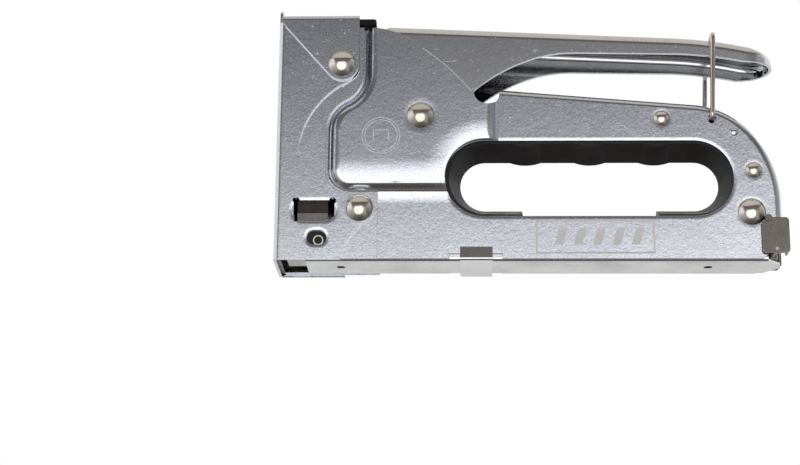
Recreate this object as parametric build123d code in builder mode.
"""Hand staple gun with a bent-sheet body, a squeeze lever and a bottom magazine.

Frame: millimetres, +Z up, +X towards the rear of the tool, nose at -X.
The origin is the middle of the footprint, on the surface that the nose stands on.
Side profiles are drawn on Plane.XZ, whose normal points to -Y, the left side of the tool.
"""

from build123d import *
import os

os.makedirs("parts", exist_ok=True)

# ---------------------------------------------------------------- driving dimensions
LENGTH = 161.0  # nose face to the back of the latch cap
NOSE = -LENGTH / 2  # x of the nose's front face
SHEET = 1.0  # thickness of the pressed body sheets
THIN_SHEET = 0.95  # thickness of the nose plates
GAP = 0.05  # play between pieces that are riveted together

SHELL_HALF = 9.7  # outer half width of the flat body sides
PANEL_RISE = 2.6  # how far the pressed panel stands proud of the flat sides
PANEL_HALF = SHELL_HALF + PANEL_RISE
SIDE_PLATE_HALF = SHELL_HALF + THIN_SHEET
COVER_HALF = SIDE_PLATE_HALF + THIN_SHEET
EAR_HALF = COVER_HALF + THIN_SHEET
SHELL_BOTTOM = 0.9
SHELL_TOP = 77.2
CAP_TOP = 81.8

PIVOT = (NOSE + 46.0, 47.2)  # lever pivot rivet
NOSE_RIVET_UP = (NOSE + 20.6, 64.8)
NOSE_RIVET_LOW = (NOSE + 26.85, 16.7)
REAR_RIVET = (NOSE + 149.8, 15.9)
SMALL_RIVETS = [(NOSE + 122.6, 46.9), (NOSE + 151.0, 29.6)]
BAIL_PIVOT = (NOSE + 138.5, 46.6)
DETENT = (NOSE + 145.2, 42.2)

RIVET_SHANK = 2.6
RIVET_HEAD = 4.4
RIVET_DOME = 2.3
PIVOT_SHANK = 3.0
SMALL_SHANK = 1.6
SMALL_HEAD = 2.65
SMALL_DOME = 1.3
RUNNING = 0.06  # radial clearance of a running fit

GRIP_RADIUS = 12.45  # half height of the grip hole
GRIP_FRONT = NOSE + 53.8
GRIP_REAR = NOSE + 144.7
GRIP_MID_Z = 27.0

LEVER_HALF = 9.6
BAIL_WIRE = 0.8
BAIL_HALF = 10.85  # from the middle plane to the centre line of a bail leg
BAIL_TOP = 75.3

MAGAZINE_HALF = 8.2
MAGAZINE_FRONT = NOSE + 9.9
MAGAZINE_REAR = NOSE + 154.7
MAGAZINE_TIP = NOSE + 159.1
MAGAZINE_BOTTOM = 0.45
MAGAZINE_TOP = 11.0

RAIL_HALF = 4.4
RAIL_TOP = 8.4
RAIL_BOTTOM = 2.0
RAIL_FRONT = NOSE + 3.7
RAIL_REAR = NOSE + 155.4

THROUGH = 40.0  # longer than the tool is wide, for cuts right through it


def at(x, z):
    """A side-view point given by its distance behind the nose face and its height."""
    return (NOSE + x, z)


def save(piece, name):
    """Label a finished sub-part and write it as its own STEP file."""
    piece.part.label = name
    export_step(piece.part, f"parts/{name}.step")


# ---------------------------------------------------------------- shared outlines
def shell_outline(level=GAP):
    """Outer edge of one body half, seen from the side."""
    with BuildSketch(Plane.XZ.offset(level)) as outline:
        with BuildLine():
            Polyline(at(71.3, 57.2), at(71.0, 54.6))
            ThreePointArc(at(71.0, 54.6), at(67.2, 51.2), at(63.0, 54.6))
            ThreePointArc(at(63.0, 54.6), at(55.0, 63.4), at(45.9, 70.6))
            ThreePointArc(at(45.9, 70.6), at(38.2, 75.5), at(30.0, SHELL_TOP))
            Polyline(at(30.0, SHELL_TOP), at(1.2, SHELL_TOP), at(1.2, SHELL_BOTTOM), at(153.0, SHELL_BOTTOM))
            Polyline(at(153.0, SHELL_BOTTOM), at(159.4, 7.3), at(159.4, 20.0))
            ThreePointArc(at(159.4, 20.0), at(157.4, 31.3), at(151.6, 41.8))
            ThreePointArc(at(151.6, 41.8), at(143.3, 48.9), at(132.0, 52.1))
            Line(at(132.0, 52.1), at(71.3, 57.2))
        make_face()
    return outline.sketch


def open_edges():
    """The part of the outline that has no flange: the nose front and the lever mouth."""
    mouth = [at(0, 0), at(0, 90), at(70.2, 90), at(70.2, 54.5), at(67.2, 52.6), at(65, 51), at(61, 51)]
    inside = [at(45, 68), at(30, 75), at(10, 70), at(10, 0)]
    with BuildSketch(Plane.XZ) as opening:
        with BuildLine():
            Polyline(*mouth, *inside, close=True)
        make_face()
    return opening.sketch


PANEL_CORNER = (23.6, 29.6)  # centre of the panel's lower front corner, behind the nose face
PANEL_CORNER_RADIUS = 7.0


def panel_outline(level, inset=0.0):
    """Foot of the ramp round the raised panel; it runs on past the mouth and into the grip hole."""
    with BuildSketch(Plane.XZ.offset(level)) as outline:
        with BuildLine():
            Polyline(at(70.7, 30), at(70.7, 90), at(28.2, 90), at(28.2, 61.5))
            ThreePointArc(at(28.2, 61.5), at(26.6, 56.0), at(22.4, 52.2))
            ThreePointArc(at(22.4, 52.2), at(18.1, 48.2), at(16.6, 42.5))
            corner_x, corner_z = PANEL_CORNER
            Line(at(corner_x - PANEL_CORNER_RADIUS, 42.5), at(corner_x - PANEL_CORNER_RADIUS, corner_z))
            CenterArc(at(corner_x, corner_z), PANEL_CORNER_RADIUS, 180, 90)
            Polyline(at(corner_x, corner_z - PANEL_CORNER_RADIUS), at(60, 22.6), at(70.7, 30))
        make_face()
        if inset:
            offset(amount=-inset, mode=Mode.REPLACE)
    return outline.sketch


def grip_slot(level=0.0, growth=0.0):
    """The grip hole, a round-ended slot, widened all round by growth."""
    with BuildSketch(Plane.XZ.offset(level)) as slot:
        with Locations(((GRIP_FRONT + GRIP_REAR) / 2, GRIP_MID_Z)):
            SlotOverall(GRIP_REAR - GRIP_FRONT + 2 * growth, 2 * (GRIP_RADIUS + growth))
    return slot.sketch


def discs(points, radius, level=0.0):
    """Round discs at side-view points, on a plane parallel to the tool's middle plane."""
    with BuildSketch(Plane.XZ.offset(level)) as circles:
        with Locations(*points):
            Circle(radius)
    return circles.sketch


def side_polygon(points, level=0.0):
    """A straight-sided side-view shape."""
    with BuildSketch(Plane.XZ.offset(level)) as shape:
        with BuildLine():
            Polyline(*points, close=True)
        make_face()
    return shape.sketch


def side_box(low, high, level=0.0):
    """A rectangle in the side view, given by two opposite corners."""
    return side_polygon([low, (high[0], low[1]), high, (low[0], high[1])], level)


def stop_window():
    """The window through the nose that shows the hammer's stop."""
    with BuildSketch(Plane.XZ) as window:
        add(side_box(*STOP_WINDOW))
        with Locations(*RELIEFS):
            Circle(RELIEF_RADIUS)
    return window.sketch


# ---------------------------------------------------------------- body halves
HOLE_FLANGE_DEPTH = 2.6
MAGAZINE_PLAY = 0.15  # between the magazine's sides and the slot in the body
MAGAZINE_SLOT_HALF = MAGAZINE_HALF + MAGAZINE_PLAY
MAGAZINE_SLOT_TOP = MAGAZINE_TOP + 0.6
BEND = 2.4  # outside radius of the folded edges, round the handle and the rear
FOLDED_X = (NOSE + 71.25, NOSE + 160.0)
FOLDED_Z = (10.0, 60.0)
PANEL_BEND = 3.0
RAMP_INSET = 0.4142 * SHEET  # keeps the sheet thickness constant on the 45 degree ramp
STOP_WINDOW = (at(6.2, 12.3), at(19.0, 19.5))
RELIEFS = [at(6.9, 19.4), at(18.4, 19.4)]  # round reliefs in the window's top corners
RELIEF_RADIUS = 1.1
CLIP_NOTCH = (at(55.2, 0), at(71.9, 2.6))
DETENT_RADIUS = 1.6
DETENT_RISE = 0.8
BAIL_HOLE = 1.4

with BuildPart() as shell_core:
    with BuildSketch(Plane.XZ):
        add(shell_outline(0))
        offset(amount=-SHEET, mode=Mode.REPLACE)
        add(open_edges())
    extrude(amount=SHELL_HALF - SHEET)
    extrude(panel_outline(SHELL_HALF - SHEET, RAMP_INSET), amount=PANEL_RISE, taper=45)
    extrude(grip_slot(SHELL_HALF - HOLE_FLANGE_DEPTH, SHEET), amount=THROUGH, mode=Mode.SUBTRACT)

with BuildPart() as left_shell:
    extrude(shell_outline(), amount=SHELL_HALF - GAP)
    outer_face = left_shell.faces().sort_by(Axis.Y)[0]
    folded_edges = outer_face.edges().filter_by_position(Axis.X, *FOLDED_X)
    fillet(folded_edges.filter_by_position(Axis.Z, *FOLDED_Z), radius=BEND)
    extrude(panel_outline(SHELL_HALF), amount=PANEL_RISE, taper=45)
    fillet(left_shell.faces().sort_by(Axis.Y)[0].edges(), radius=PANEL_BEND)
    extrude(shell_outline(), amount=THROUGH, mode=Mode.INTERSECT)
    extrude(grip_slot(), amount=THROUGH, mode=Mode.SUBTRACT)
    with Locations((DETENT[0], DETENT_RADIUS - DETENT_RISE - SHELL_HALF, DETENT[1])):
        Sphere(DETENT_RADIUS)
    add(shell_core.part, mode=Mode.SUBTRACT)
    with BuildSketch(Plane.XY):
        Rectangle(2 * LENGTH, 2 * MAGAZINE_SLOT_HALF)
    extrude(amount=MAGAZINE_SLOT_TOP, both=True, mode=Mode.SUBTRACT)
    extrude(stop_window(), amount=THROUGH, mode=Mode.SUBTRACT)
    extrude(side_box(*CLIP_NOTCH), amount=THROUGH, mode=Mode.SUBTRACT)
    extrude(discs([NOSE_RIVET_UP, NOSE_RIVET_LOW, REAR_RIVET], RIVET_SHANK), amount=THROUGH, mode=Mode.SUBTRACT)
    extrude(discs([PIVOT], PIVOT_SHANK), amount=THROUGH, mode=Mode.SUBTRACT)
    extrude(discs(SMALL_RIVETS, SMALL_SHANK), amount=THROUGH, mode=Mode.SUBTRACT)
    extrude(discs([BAIL_PIVOT], BAIL_HOLE), amount=THROUGH, mode=Mode.SUBTRACT)
save(left_shell, "left_shell")

with BuildPart() as right_shell:
    mirror(left_shell.part, about=Plane.XZ)
save(right_shell, "right_shell")


# ---------------------------------------------------------------- nose
NOSE_PLATE_TOP = 77.8
COVER_TOP = 79.6
TAB_HALF = 9.0
TAB_TOP = 84.6
COVER_BEND = 2.0
TAB_CORNER = 1.4
TAB_OVERLAP = 2.0  # how far the tab's strip reaches down over the cover's front
OVAL = at(13.6, 7.1)  # oval inspection hole near the foot
OVAL_SIZE = (6.4, 4.8)
OVAL_BACKING = at(14.2, 6.7)  # smaller round hole behind it in the side plate
OVAL_BACKING_RADIUS = 2.1


def side_plate_outline():
    """The plate between body side and nose cover; its rear edge follows the foot of the panel's ramp."""
    with BuildSketch(Plane.XZ.offset(SHELL_HALF + GAP)) as outline:
        with BuildLine():
            Polyline(at(32.6, 22.3), at(32.6, 0.6), at(2.1, 0.6), at(2.1, NOSE_PLATE_TOP))
            Polyline(at(2.1, NOSE_PLATE_TOP), at(27.5, NOSE_PLATE_TOP), at(27.5, 61.4))
            ThreePointArc(at(27.5, 61.4), at(26.0, 56.5), at(21.9, 52.9))
            ThreePointArc(at(21.9, 52.9), at(17.4, 48.5), at(15.9, 42.5))
            Line(at(15.9, 42.5), at(15.9, 29.6))
            ThreePointArc(at(15.9, 29.6), at(18.15, 24.15), at(23.6, 22.3))
            Line(at(23.6, 22.3), at(32.6, 22.3))
        make_face()
    return outline.sketch


def cover_outline():
    """The nose cover's side: a tapering strip with a lobe round the lower rivet."""
    with BuildSketch(Plane.XZ) as outline:
        with BuildLine():
            Polyline(at(21.2, 0), at(0, 0), at(0, COVER_TOP), at(24.6, COVER_TOP), at(24.6, 61.5))
            ThreePointArc(at(24.6, 61.5), at(22.8, 59.2), at(20.1, 57.7))
            ThreePointArc(at(20.1, 57.7), at(10.6, 47.5), at(6.9, 34.0))
            Polyline(at(6.9, 34.0), at(6.2, 19.5), at(6.2, 12.3), at(15.6, 12.3))
            ThreePointArc(at(15.6, 12.3), at(18.1, 13.2), at(20.0, 15.6))
            Line(at(20.0, 15.6), at(22.6, 19.5))
            ThreePointArc(at(22.6, 19.5), at(29.4, 20.4), at(30.9, 13.7))
            ThreePointArc(at(30.9, 13.7), at(25.0, 8.6), at(21.2, 0))
        make_face()
    return outline.sketch


with BuildPart() as left_side_plate:
    extrude(side_plate_outline(), amount=THIN_SHEET - GAP)
    extrude(stop_window(), amount=THROUGH, mode=Mode.SUBTRACT)
    extrude(discs([NOSE_RIVET_UP, NOSE_RIVET_LOW], RIVET_SHANK), amount=THROUGH, mode=Mode.SUBTRACT)
    extrude(discs([OVAL_BACKING], OVAL_BACKING_RADIUS), amount=THROUGH, mode=Mode.SUBTRACT)
save(left_side_plate, "left_side_plate")

with BuildPart() as right_side_plate:
    mirror(left_side_plate.part, about=Plane.XZ)
save(right_side_plate, "right_side_plate")

with BuildPart() as nose_cover:
    extrude(cover_outline(), amount=COVER_HALF, both=True)
    fillet(nose_cover.edges().filter_by(Axis.Z).group_by(Axis.X)[0], radius=COVER_BEND)
    with BuildSketch(Plane.XY):
        with Locations((NOSE + THIN_SHEET + THROUGH / 2, 0)):
            RectangleRounded(THROUGH, 2 * (SIDE_PLATE_HALF + GAP), COVER_BEND - THIN_SHEET)
    extrude(amount=2 * THROUGH + TAB_TOP, both=True, mode=Mode.SUBTRACT)
    extrude(discs([NOSE_RIVET_UP, NOSE_RIVET_LOW], RIVET_SHANK), amount=THROUGH, both=True, mode=Mode.SUBTRACT)
    with BuildSketch(Plane.XZ):
        with Locations(OVAL):
            SlotOverall(*OVAL_SIZE)
    extrude(amount=THROUGH, both=True, mode=Mode.SUBTRACT)
    extrude(discs(RELIEFS, RELIEF_RADIUS), amount=THROUGH, both=True, mode=Mode.SUBTRACT)
    with BuildSketch(Plane.YZ.offset(NOSE)):
        with Locations((0, (COVER_TOP + TAB_TOP - TAB_OVERLAP) / 2)):
            RectangleRounded(2 * TAB_HALF, TAB_TOP - COVER_TOP + TAB_OVERLAP, TAB_CORNER)
    extrude(amount=THIN_SHEET)
save(nose_cover, "nose_cover")

CAP_BEND = 1.8
EAR_INNER = COVER_HALF + GAP
with BuildPart() as top_cap:
    with BuildSketch(Plane.XZ):
        with BuildLine():
            Polyline(at(26.1, 64.6), at(26.1, CAP_TOP), at(1.1, CAP_TOP), at(1.1, 79.0), at(16.8, 61.0))
            ThreePointArc(at(16.8, 61.0), at(22.6, 59.6), at(26.1, 64.6))
        make_face()
    extrude(amount=EAR_HALF, both=True)
    fillet(top_cap.edges().filter_by(Axis.X).group_by(Axis.Z)[-1], radius=CAP_BEND)
    with BuildSketch(Plane.YZ):
        with Locations((0, CAP_TOP - THIN_SHEET - THROUGH / 2)):
            RectangleRounded(2 * EAR_INNER, THROUGH, CAP_BEND - THIN_SHEET)
    extrude(amount=LENGTH, both=True, mode=Mode.SUBTRACT)
    extrude(discs([NOSE_RIVET_UP], RIVET_SHANK), amount=THROUGH, both=True, mode=Mode.SUBTRACT)
save(top_cap, "top_cap")

BRIDGE_TOP = CAP_TOP - THIN_SHEET - GAP
BRIDGE_BOTTOM = 78.9
BRIDGE_HALF = 10.6
BRIDGE_X = (2.2, 31.5)
BRIDGE_KEY_X = (26.4, 31.4)  # the block under the bridge that sits between the body sides
BRIDGE_KEY_BOTTOM = 75.5
INSIDE_HALF = SHELL_HALF - SHEET - GAP  # half width of the space between the body sides
with BuildPart() as spring_bridge:
    extrude(side_box(at(BRIDGE_X[0], BRIDGE_BOTTOM), at(BRIDGE_X[1], BRIDGE_TOP)), amount=BRIDGE_HALF, both=True)
    rear_edge = spring_bridge.edges().filter_by(Axis.Y).group_by(Axis.X)[-1].sort_by(Axis.Z)[-1]
    fillet(rear_edge, radius=0.9)
    key = side_box(at(BRIDGE_KEY_X[0], BRIDGE_KEY_BOTTOM), at(BRIDGE_KEY_X[1], BRIDGE_BOTTOM))
    extrude(key, amount=INSIDE_HALF, both=True)
save(spring_bridge, "spring_bridge")

WEAR_PLATE_X = (THIN_SHEET + GAP, THIN_SHEET + GAP + 1.15)
WEAR_PLATE_Z = (0.75, 76.25)
with BuildPart() as wear_plate:
    front = side_box(at(WEAR_PLATE_X[0], WEAR_PLATE_Z[0]), at(WEAR_PLATE_X[1], WEAR_PLATE_Z[1]))
    extrude(front, amount=INSIDE_HALF - GAP, both=True)
save(wear_plate, "wear_plate")

STOP_X = (7.2, 16.8)
STOP_Z = (12.9, 15.8)
DAMPER_TOP = 20.4
with BuildPart() as stop_plate:
    extrude(side_box(at(STOP_X[0], STOP_Z[0]), at(STOP_X[1], STOP_Z[1])), amount=INSIDE_HALF, both=True)
save(stop_plate, "stop_plate")

with BuildPart() as stop_damper:
    extrude(side_box(at(STOP_X[0], STOP_Z[1]), at(STOP_X[1], DAMPER_TOP)), amount=INSIDE_HALF, both=True)
    fillet(stop_damper.edges().filter_by(Axis.Y).group_by(Axis.Z)[-1], radius=0.8)
save(stop_damper, "stop_damper")


# ---------------------------------------------------------------- rivets and their sleeves
def dome(point, level, radius, rise):
    """A round rivet head on each side of the tool, sitting at half width `level`."""
    ball = (radius**2 + rise**2) / (2 * rise)
    with BuildPart() as heads:
        with Locations((point[0], ball - rise - level, point[1])):
            Sphere(ball)
        everywhere = side_box((point[0] - THROUGH, 0), (point[0] + THROUGH, LENGTH))
        extrude(everywhere, amount=level, mode=Mode.SUBTRACT)
        extrude(everywhere, amount=-THROUGH, mode=Mode.SUBTRACT)
        mirror(about=Plane.XZ)
    return heads.part


with BuildPart() as nose_rivets:
    for centre, level in ((NOSE_RIVET_UP, EAR_HALF), (NOSE_RIVET_LOW, COVER_HALF)):
        extrude(discs([centre], RIVET_SHANK), amount=level, both=True)
        add(dome(centre, level, RIVET_HEAD, RIVET_DOME))
save(nose_rivets, "nose_rivets")

with BuildPart() as pivot_rivet:
    extrude(discs([PIVOT], PIVOT_SHANK), amount=PANEL_HALF, both=True)
    add(dome(PIVOT, PANEL_HALF, RIVET_HEAD, RIVET_DOME))
save(pivot_rivet, "pivot_rivet")

with BuildPart() as rear_rivet:
    extrude(discs([REAR_RIVET], RIVET_SHANK), amount=SHELL_HALF, both=True)
    add(dome(REAR_RIVET, SHELL_HALF, RIVET_HEAD, RIVET_DOME))
save(rear_rivet, "rear_rivet")

with BuildPart() as handle_rivets:
    for centre in SMALL_RIVETS:
        extrude(discs([centre], SMALL_SHANK), amount=SHELL_HALF, both=True)
        add(dome(centre, SHELL_HALF, SMALL_HEAD, SMALL_DOME))
save(handle_rivets, "handle_rivets")

BODY_RIVETS = [NOSE_RIVET_UP, NOSE_RIVET_LOW, REAR_RIVET]
SLEEVE_RADIUS = 3.7
SMALL_SLEEVE_RADIUS = 2.5
with BuildPart() as body_sleeves:
    extrude(discs(BODY_RIVETS, SLEEVE_RADIUS), amount=INSIDE_HALF, both=True)
    extrude(discs(BODY_RIVETS, RIVET_SHANK), amount=THROUGH, both=True, mode=Mode.SUBTRACT)
save(body_sleeves, "body_sleeves")

with BuildPart() as handle_sleeves:
    extrude(discs(SMALL_RIVETS, SMALL_SLEEVE_RADIUS), amount=INSIDE_HALF, both=True)
    extrude(discs(SMALL_RIVETS, SMALL_SHANK), amount=THROUGH, both=True, mode=Mode.SUBTRACT)
save(handle_sleeves, "handle_sleeves")

WASHER_RADIUS = 7.5
with BuildPart() as pivot_washers:
    extrude(discs([PIVOT], WASHER_RADIUS, LEVER_HALF + GAP), amount=PANEL_HALF - SHEET - LEVER_HALF - 2 * GAP)
    mirror(about=Plane.XZ)
    extrude(discs([PIVOT], PIVOT_SHANK), amount=THROUGH, both=True, mode=Mode.SUBTRACT)
save(pivot_washers, "pivot_washers")


# ---------------------------------------------------------------- grip insert
INSERT_HALF = 8.8
THROAT_RADIUS = 8.1  # half height of the finger space at the middle plane
THROAT_X = (58.6, 140.9)
FLARE = 22  # degrees by which the finger space widens towards each side
RIDGES = [79.5, 100.0, 120.5]
RIDGE_RADIUS = 14.0
RIDGE_DROP = 0.9
FLOOR_GAP = (at(78.3, 10.0), at(121.0, 25.0))  # where the insert has no lower wall

with BuildPart() as grip_insert:
    extrude(grip_slot(0, -GAP), amount=INSERT_HALF)
    with BuildSketch(Plane.XZ) as throat:
        with Locations(at(sum(THROAT_X) / 2, GRIP_MID_Z)):
            SlotOverall(THROAT_X[1] - THROAT_X[0], 2 * THROAT_RADIUS)
        with Locations(*[at(x, GRIP_MID_Z + THROAT_RADIUS - RIDGE_DROP + RIDGE_RADIUS) for x in RIDGES]):
            Circle(RIDGE_RADIUS, mode=Mode.SUBTRACT)
    extrude(throat.sketch, amount=INSERT_HALF, taper=-FLARE, mode=Mode.SUBTRACT)
    extrude(side_box(*FLOOR_GAP), amount=THROUGH, both=True, mode=Mode.SUBTRACT)
    mirror(about=Plane.XZ)
save(grip_insert, "grip_insert")


# ---------------------------------------------------------------- lever, lift arm and bush
LEVER_TIP = 159.4
LEVER_BOSS = 9.0
LEVER_BEND = 3.4
BUSH_RADIUS = 5.0
ARM_TIP = at(13.0, 52.0)
ARM_TIP_RADIUS = 2.6
ARM_HALF = 4.0
ARM_BOSS = 8.0
ARM_PIN = at(39.6, 48.4)
ARM_PIN_RADIUS = 1.0


def lever_side(drop=0.0):
    """Side view of the lever; `drop` lowers the top and runs the shape down past the open bottom."""
    with BuildSketch(Plane.XZ) as outline:
        with BuildLine():
            Line(at(36.0, 79.4 - drop), at(125.0, 75.3 - drop))
            ThreePointArc(at(125.0, 75.3 - drop), at(143.3, 73.5 - drop), at(LEVER_TIP, 69.8 - drop))
            if drop:
                Polyline(at(LEVER_TIP, 69.8 - drop), at(LEVER_TIP, 20), at(20, 20), at(20, 79.4 - drop))
                Line(at(20, 79.4 - drop), at(36.0, 79.4 - drop))
            else:
                Polyline(at(LEVER_TIP, 69.8), at(LEVER_TIP, 66.2), at(149.0, 66.2))
                ThreePointArc(at(149.0, 66.2), at(138.7, 67.9), at(128.3, 68.8))
                Line(at(128.3, 68.8), at(96.0, 69.3))
                ThreePointArc(at(96.0, 69.3), at(89.8, 69.0), at(84.0, 67.9))
                ThreePointArc(at(84.0, 67.9), at(73.0, 63.4), at(63.0, 56.4))
                Line(at(63.0, 56.4), at(54.3, 43.8))
                ThreePointArc(at(54.3, 43.8), (PIVOT[0], PIVOT[1] - LEVER_BOSS), at(37.4, 44.6))
                Polyline(at(37.4, 44.6), at(34.2, 60.0), at(34.2, 77.6), at(36.0, 79.4))
        make_face()
    return outline.sketch


def lever_plan(half):
    """Plan view of the lever: a strip with a round rear end."""
    with BuildSketch(Plane.XY) as outline:
        with BuildLine():
            rear = LEVER_TIP - LEVER_HALF
            Polyline(at(rear, half), at(20, half), at(20, -half), at(rear, -half))
            ThreePointArc(at(rear, -half), at(rear + half, 0), at(rear, half))
        make_face()
    return outline.sketch


def rim(piece):
    """The lever's long top edges and the edge round its tip."""
    return piece.edges().filter_by_position(Axis.Z, 69.5, 78.4).filter_by(Axis.Y, reverse=True)


with BuildPart() as lever_hollow:
    extrude(lever_side(SHEET), amount=LEVER_HALF - SHEET, both=True)
    extrude(lever_plan(LEVER_HALF - SHEET), amount=LENGTH, both=True, mode=Mode.INTERSECT)
    fillet(rim(lever_hollow), radius=LEVER_BEND - SHEET)

with BuildPart() as lever:
    extrude(lever_side(), amount=LEVER_HALF, both=True)
    extrude(lever_plan(LEVER_HALF), amount=LENGTH, both=True, mode=Mode.INTERSECT)
    fillet(rim(lever), radius=LEVER_BEND)
    add(lever_hollow.part, mode=Mode.SUBTRACT)
    extrude(discs([PIVOT], BUSH_RADIUS), amount=THROUGH, both=True, mode=Mode.SUBTRACT)
    extrude(discs([ARM_PIN], ARM_PIN_RADIUS), amount=THROUGH, both=True, mode=Mode.SUBTRACT)
save(lever, "lever")

with BuildPart() as lever_bush:
    extrude(discs([PIVOT], BUSH_RADIUS), amount=LEVER_HALF, both=True)
    extrude(discs([PIVOT], PIVOT_SHANK + RUNNING), amount=THROUGH, both=True, mode=Mode.SUBTRACT)
save(lever_bush, "lever_bush")

with BuildPart() as lift_arm:
    with BuildSketch(Plane.XZ):
        with Locations(PIVOT):
            Circle(ARM_BOSS)
        with Locations(ARM_TIP):
            Circle(ARM_TIP_RADIUS)
        make_hull()
        with Locations(PIVOT):
            Circle(BUSH_RADIUS, mode=Mode.SUBTRACT)
        with Locations(ARM_PIN):
            Circle(ARM_PIN_RADIUS, mode=Mode.SUBTRACT)
    extrude(amount=ARM_HALF, both=True)
save(lift_arm, "lift_arm")

with BuildPart() as arm_pin:
    extrude(discs([ARM_PIN], ARM_PIN_RADIUS), amount=LEVER_HALF, both=True)
save(arm_pin, "arm_pin")


# ---------------------------------------------------------------- hammer, driver blade and main spring
HAMMER_X = (3.4, 15.5)
HAMMER_Z = (32.0, 58.5)
HAMMER_HALF = 6.9
HAMMER_WINDOW = (at(8.5, 46.8), at(20.0, 54.9))
BLADE_X = (2.45, 3.4)
BLADE_Z = (12.0, 57.0)
BLADE_HALF = 5.3
SPRING_X = NOSE + 9.9
SPRING_COIL = 5.3  # coil centre-line radius
SPRING_WIRE = 0.8
SPRING_TURNS = 6
SEAT_BOTTOM = 77.4
SPIGOT_RADIUS = 3.4
SPIGOT_HEIGHT = 2.5
WINDOW_PLAY = 0.5  # beside the lift arm, where it reaches through the hammer

with BuildPart() as hammer:
    extrude(side_box(at(HAMMER_X[0], HAMMER_Z[0]), at(HAMMER_X[1], HAMMER_Z[1])), amount=HAMMER_HALF, both=True)
    extrude(side_box(*HAMMER_WINDOW), amount=ARM_HALF + WINDOW_PLAY, both=True, mode=Mode.SUBTRACT)
    with BuildSketch(Plane.XY.offset(HAMMER_Z[1])):
        with Locations((SPRING_X, 0)):
            Circle(SPIGOT_RADIUS)
    extrude(amount=SPIGOT_HEIGHT)
save(hammer, "hammer")

with BuildPart() as driver_blade:
    extrude(side_box(at(BLADE_X[0], BLADE_Z[0]), at(BLADE_X[1], BLADE_Z[1])), amount=BLADE_HALF, both=True)
save(driver_blade, "driver_blade")

with BuildPart() as spring_seat:
    with BuildSketch(Plane.XY.offset(SEAT_BOTTOM)):
        with Locations((SPRING_X, 0)):
            Circle(SPRING_COIL + SPRING_WIRE)
    extrude(amount=BRIDGE_BOTTOM - SEAT_BOTTOM)
    with BuildSketch(Plane.XY.offset(SEAT_BOTTOM - SPIGOT_HEIGHT)):
        with Locations((SPRING_X, 0)):
            Circle(SPIGOT_RADIUS)
    extrude(amount=SPIGOT_HEIGHT)
save(spring_seat, "spring_seat")

SPRING_LOW = HAMMER_Z[1] + SPRING_WIRE + GAP
SPRING_HIGH = SEAT_BOTTOM - SPRING_WIRE - GAP
with BuildPart() as main_spring:
    with BuildLine(Plane((SPRING_X, 0, SPRING_LOW))) as coil:
        Helix((SPRING_HIGH - SPRING_LOW) / SPRING_TURNS, SPRING_HIGH - SPRING_LOW, SPRING_COIL)
    with BuildSketch(Plane(coil.line @ 0, z_dir=coil.line % 0)):
        Circle(SPRING_WIRE)
    sweep(path=coil.line)
save(main_spring, "main_spring")


# ---------------------------------------------------------------- bail that locks the lever
BAIL_END = 7.8
BAIL_LEAN = 1.1  # how far the top of the bail stands behind its pivot
BAIL_CORNER = 1.6
with BuildPart() as bail:
    with BuildLine() as wire:
        foot_x, foot_z = BAIL_PIVOT
        FilletPolyline(
            (foot_x, -BAIL_END, foot_z),
            (foot_x, -BAIL_HALF, foot_z),
            (foot_x + BAIL_LEAN, -BAIL_HALF, BAIL_TOP),
            (foot_x + BAIL_LEAN, BAIL_HALF, BAIL_TOP),
            (foot_x, BAIL_HALF, foot_z),
            (foot_x, BAIL_END, foot_z),
            radius=BAIL_CORNER,
        )
    with BuildSketch(Plane(wire.line @ 0, z_dir=wire.line % 0)):
        Circle(BAIL_WIRE)
    sweep(path=wire.line)
save(bail, "bail")


# ---------------------------------------------------------------- magazine
MAGAZINE_HOLES = [20.7, 136.8]
MAGAZINE_HOLE_RADIUS = 1.4
MAGAZINE_BEND = 1.0
CLIP_BEND = 0.9
TIP_HALF = 1.6
CLIP_X = (58.6, 68.8)
CLIP_HALF = 10.9
CLIP_TOP = 4.3
CLIP_FLOOR = MAGAZINE_BOTTOM - GAP / 2
with BuildPart() as magazine_channel:
    with BuildSketch(Plane.YZ.offset(MAGAZINE_FRONT)):
        with Locations((0, (MAGAZINE_BOTTOM + MAGAZINE_TOP) / 2)):
            Rectangle(2 * MAGAZINE_HALF, MAGAZINE_TOP - MAGAZINE_BOTTOM)
    extrude(amount=MAGAZINE_REAR - MAGAZINE_FRONT)
    fillet(magazine_channel.edges().filter_by(Axis.X).group_by(Axis.Z)[0], radius=MAGAZINE_BEND)
    with BuildSketch(Plane.YZ):
        with Locations((0, MAGAZINE_BOTTOM + SHEET + THROUGH / 2)):
            Rectangle(2 * (MAGAZINE_HALF - SHEET), THROUGH)
    extrude(amount=LENGTH, both=True, mode=Mode.SUBTRACT)
    with BuildSketch(Plane.XY.offset(MAGAZINE_BOTTOM)):
        with BuildLine():
            corner = MAGAZINE_HALF - MAGAZINE_BEND
            Polyline(
                (MAGAZINE_REAR, corner), (MAGAZINE_REAR, -corner), (MAGAZINE_TIP, -TIP_HALF),
                (MAGAZINE_TIP, TIP_HALF), close=True,
            )
        make_face()
    extrude(amount=SHEET)
    with BuildSketch(Plane.XY):
        with Locations(*[(NOSE + x, 0) for x in MAGAZINE_HOLES]):
            Circle(MAGAZINE_HOLE_RADIUS)
    extrude(amount=MAGAZINE_TOP, mode=Mode.SUBTRACT)
save(magazine_channel, "magazine_channel")

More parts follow.
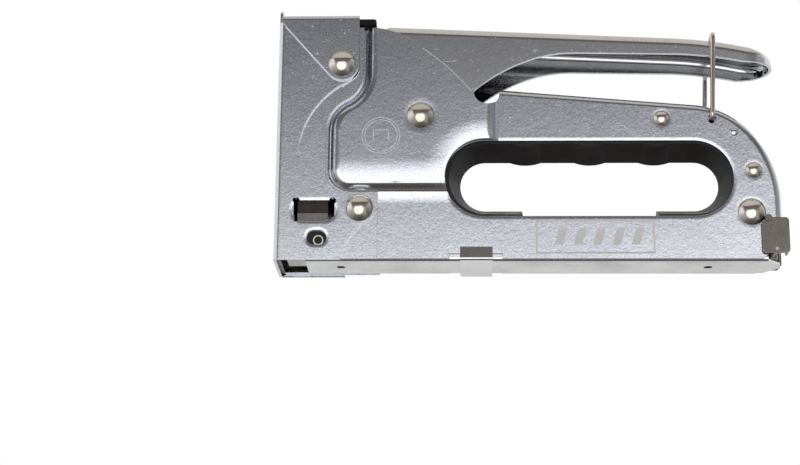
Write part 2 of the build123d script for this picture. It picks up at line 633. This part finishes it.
with BuildPart() as magazine_clip:
    extrude(side_box(at(CLIP_X[0], 0), at(CLIP_X[1], CLIP_TOP)), amount=CLIP_HALF, both=True)
    fillet(magazine_clip.edges().filter_by(Axis.X).group_by(Axis.Z)[0], radius=CLIP_BEND)
    inside = side_box(at(CLIP_X[0], CLIP_FLOOR), at(CLIP_X[1], 2 * CLIP_TOP))
    extrude(inside, amount=SHELL_HALF + GAP, both=True, mode=Mode.SUBTRACT)
save(magazine_clip, "magazine_clip")

RAIL_SHEET = 0.8
RAIL_TIP = 6.0  # length of the closed block at the rail's front end
RAIL_SLOT_X = (16.0, 152.0)
RAIL_SLOT_HALF = 2.2
ROD_RADIUS = 0.9
ROD_Z = 5.0
ROD_FRONT = NOSE + 14.0
POST_X = (NOSE + 155.4, NOSE + 158.0)
POST_Z = (1.7, 7.4)
POST_HALF = 5.0
POST_CORNER = 0.6
LATCH_AXIS = at(157.0, 3.5)
LATCH_PIN = 0.6
CAP_X = (152.6, 161.0)
CAP_Z = (2.3, 13.7)
CAP_HALF = 11.2
CAP_SHEET = 0.9
TONGUE_HALF = 12.0
TONGUE = at(154.6, 13.4)  # small nub that snaps past the rear rivet
TONGUE_RADIUS = 1.1
ARCH_HALF = 6.6  # opening in the end wall, round the rail's post
ARCH_HEIGHT = 6.4
ARCH_CORNER = 2.0
CAP_CORNER = 1.2
CAP_INSIDE_CORNER = 0.8
RIVET_PLAY = 0.3  # between the cap's hollow edge and the rear rivet's head
with BuildPart() as staple_rail:
    with BuildSketch(Plane.YZ.offset(RAIL_FRONT)):
        with Locations((0, (RAIL_BOTTOM + RAIL_TOP) / 2)):
            Rectangle(2 * RAIL_HALF, RAIL_TOP - RAIL_BOTTOM)
        with Locations((0, RAIL_TOP - RAIL_SHEET - THROUGH / 2)):
            Rectangle(2 * (RAIL_HALF - RAIL_SHEET), THROUGH, mode=Mode.SUBTRACT)
    extrude(amount=RAIL_REAR - RAIL_FRONT)
    with BuildSketch(Plane.XY.offset(RAIL_TOP)):
        with Locations((NOSE + (RAIL_SLOT_X[0] + RAIL_SLOT_X[1]) / 2, 0)):
            Rectangle(RAIL_SLOT_X[1] - RAIL_SLOT_X[0], 2 * RAIL_SLOT_HALF)
    extrude(amount=-RAIL_SHEET, mode=Mode.SUBTRACT)
    extrude(side_box((RAIL_FRONT, RAIL_BOTTOM), (RAIL_FRONT + RAIL_TIP, RAIL_TOP)), amount=RAIL_HALF, both=True)
save(staple_rail, "staple_rail")

with BuildPart() as rail_post:
    extrude(side_box((POST_X[0], POST_Z[0]), (POST_X[1], POST_Z[1])), amount=POST_HALF, both=True)
    fillet(rail_post.edges().filter_by(Axis.Z), radius=POST_CORNER)
    extrude(discs([LATCH_AXIS], LATCH_PIN), amount=THROUGH, both=True, mode=Mode.SUBTRACT)
save(rail_post, "rail_post")

with BuildPart() as latch_pin:
    extrude(discs([LATCH_AXIS], LATCH_PIN), amount=CAP_HALF, both=True)
save(latch_pin, "latch_pin")

with BuildPart() as guide_rod:
    with BuildSketch(Plane.YZ.offset(ROD_FRONT)):
        with Locations((0, ROD_Z)):
            Circle(ROD_RADIUS)
    extrude(amount=POST_X[0] - ROD_FRONT)
save(guide_rod, "guide_rod")

FOLLOWER_X = (10.5, 27.0)
FOLLOWER_HALF = 5.5
FOLLOWER_TOP = 9.6
FOLLOWER_PLAY = 0.3
LUG_HALF = 1.9
LUG_X = (FOLLOWER_X[1] - 3.0, FOLLOWER_X[1])  # lug that rides on the guide rod
LUG_Z = (3.2, RAIL_TOP + 0.5)
with BuildPart() as follower:
    with BuildSketch(Plane.YZ.offset(NOSE + FOLLOWER_X[0])):
        with Locations((0, (RAIL_BOTTOM + FOLLOWER_TOP) / 2)):
            Rectangle(2 * FOLLOWER_HALF, FOLLOWER_TOP - RAIL_BOTTOM)
        with Locations((0, RAIL_TOP + FOLLOWER_PLAY - THROUGH / 2)):
            Rectangle(2 * (RAIL_HALF + FOLLOWER_PLAY), THROUGH, mode=Mode.SUBTRACT)
    extrude(amount=FOLLOWER_X[1] - FOLLOWER_X[0])
    extrude(side_box(at(LUG_X[0], LUG_Z[0]), at(LUG_X[1], LUG_Z[1])), amount=LUG_HALF, both=True)
    with BuildSketch(Plane.YZ.offset(NOSE + LUG_X[0])):
        with Locations((0, ROD_Z)):
            Circle(ROD_RADIUS + FOLLOWER_PLAY)
    extrude(amount=LUG_X[1] - LUG_X[0], mode=Mode.SUBTRACT)
save(follower, "follower")

COIL_RADIUS = 1.8
COIL_WIRE = 0.35
COIL_TURNS = 24
COIL_X = (NOSE + 131.8, POST_X[0] - 0.5)  # closed up against the post
with BuildPart() as follower_spring:
    coil_length = COIL_X[1] - COIL_X[0]
    with BuildLine() as coil:
        Helix(coil_length / COIL_TURNS, coil_length, COIL_RADIUS, center=(COIL_X[0], 0, ROD_Z), direction=(1, 0, 0))
    with BuildSketch(Plane(coil.line @ 0, z_dir=coil.line % 0)):
        Circle(COIL_WIRE)
    sweep(path=coil.line)
save(follower_spring, "follower_spring")


# ---------------------------------------------------------------- latch cap at the rear
with BuildPart() as latch_cap:
    with BuildSketch(Plane.XZ):
        with Locations(at((CAP_X[0] + CAP_X[1]) / 2, (CAP_Z[0] + CAP_Z[1]) / 2)):
            RectangleRounded(CAP_X[1] - CAP_X[0], CAP_Z[1] - CAP_Z[0], CAP_CORNER)
    extrude(amount=CAP_HALF, both=True)
    with BuildSketch(Plane.XY):
        with Locations((NOSE + CAP_X[1] - CAP_SHEET - THROUGH / 2, 0)):
            RectangleRounded(THROUGH, 2 * (CAP_HALF - CAP_SHEET), CAP_INSIDE_CORNER)
    extrude(amount=THROUGH, both=True, mode=Mode.SUBTRACT)
    extrude(discs([REAR_RIVET], RIVET_HEAD + RIVET_PLAY), amount=THROUGH, both=True, mode=Mode.SUBTRACT)
    extrude(discs([TONGUE], TONGUE_RADIUS, CAP_HALF - CAP_SHEET), amount=TONGUE_HALF + CAP_SHEET - CAP_HALF)
    mirror(about=Plane.XZ)
    with BuildSketch(Plane.YZ.offset(NOSE + CAP_X[1] - 2 * CAP_SHEET)):
        with Locations((0, CAP_Z[0])):
            RectangleRounded(2 * ARCH_HALF, 2 * ARCH_HEIGHT, ARCH_CORNER)
    extrude(amount=3 * CAP_SHEET, mode=Mode.SUBTRACT)
    extrude(discs([LATCH_AXIS], LATCH_PIN + RUNNING), amount=THROUGH, both=True, mode=Mode.SUBTRACT)
save(latch_cap, "latch_cap")
